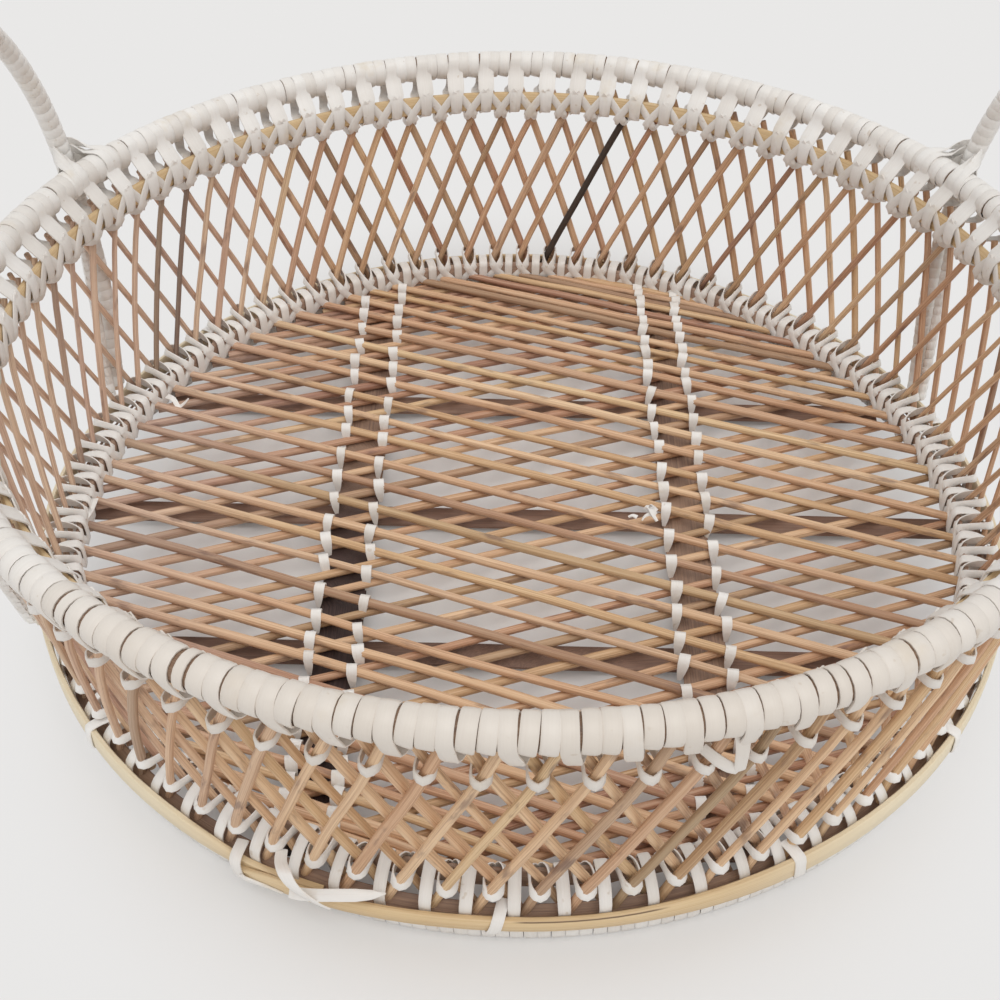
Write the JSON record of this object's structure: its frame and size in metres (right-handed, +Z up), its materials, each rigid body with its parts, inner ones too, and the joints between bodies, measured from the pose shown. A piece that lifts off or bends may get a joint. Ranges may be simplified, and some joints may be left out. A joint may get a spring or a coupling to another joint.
{
  "type": "round tray basket",
  "caption": "Low round open tray basket of crossed rattan rods, laced with pale peel to a wrapped rim and a hooped base, with tall arched side handles.",
  "frame": {"origin": "middle of the foot ring, on the surface that the basket stands on", "axes": "+Z up; +X to the right handle; -Y to the near side in the picture"},
  "size_m": [0.4776, 0.4776, 0.2466],
  "materials": {
    "peel": "off-white peeled cane strip, matt, fine grain along the strip",
    "rattan_rod": "round rattan core rod, honey to red-brown, satin",
    "bamboo_hoop": "split bamboo, straw yellow, satin, long grain",
    "dark_cane": "dark brown split cane, matt",
    "grey_cane": "grey-brown weathered split cane, matt"
  },
  "bodies": {
    "root": {"base_hoop_tie_01": "peel", "base_hoop_tie_02": "peel", "base_hoop_tie_03": "peel", "base_hoop_tie_04": "peel", "base_hoop_tie_05": "peel", "base_hoop_tie_06": "peel", "base_hoop_tie_07": "peel", "base_hoop_tie_08": "peel", "base_hoop_tie_09": "peel", "base_hoop_tie_10": "peel", "base_hoop_tie_11": "peel", "base_hoop_tie_12": "peel", "base_hoop_tie_13": "peel", "base_hoop_tie_14": "peel", "dark_base_band": "dark_cane", "far_cross_slat": "grey_cane", "floor_tie_1": "peel", "floor_tie_2": "peel", "floor_tie_3": "peel", "floor_tie_4": "peel", "foot_binding": "peel", "foot_roll": "rattan_rod", "inner_wall_rods": "rattan_rod", "left_floor_slat": "dark_cane", "left_handle_binding": "peel", "left_handle_cane": "rattan_rod", "left_handle_far_rim_lashing": "peel", "left_handle_far_side_strand": "peel", "left_handle_near_rim_lashing": "peel", "left_handle_near_side_strand": "peel", "loose_strip_end": "peel", "lower_floor_rods": "rattan_rod", "lower_inner_hoop": "grey_cane", "lower_lacing": "peel", "middle_cross_slat": "grey_cane", "near_cross_slat": "grey_cane", "near_rim_forked_tie": "peel", "outer_base_hoop": "bamboo_hoop", "outer_wall_rods": "rattan_rod", "right_floor_slat": "dark_cane", "right_handle_binding": "peel", "right_handle_cane": "rattan_rod", "right_handle_far_rim_lashing": "peel", "right_handle_far_side_strand": "peel", "right_handle_near_rim_lashing": "peel", "right_handle_near_side_strand": "peel", "rim_binding": "peel", "rim_roll": "rattan_rod", "upper_floor_rods": "rattan_rod", "upper_inner_hoop": "bamboo_hoop", "upper_lacing": "peel"}
  },
  "joints": []
}
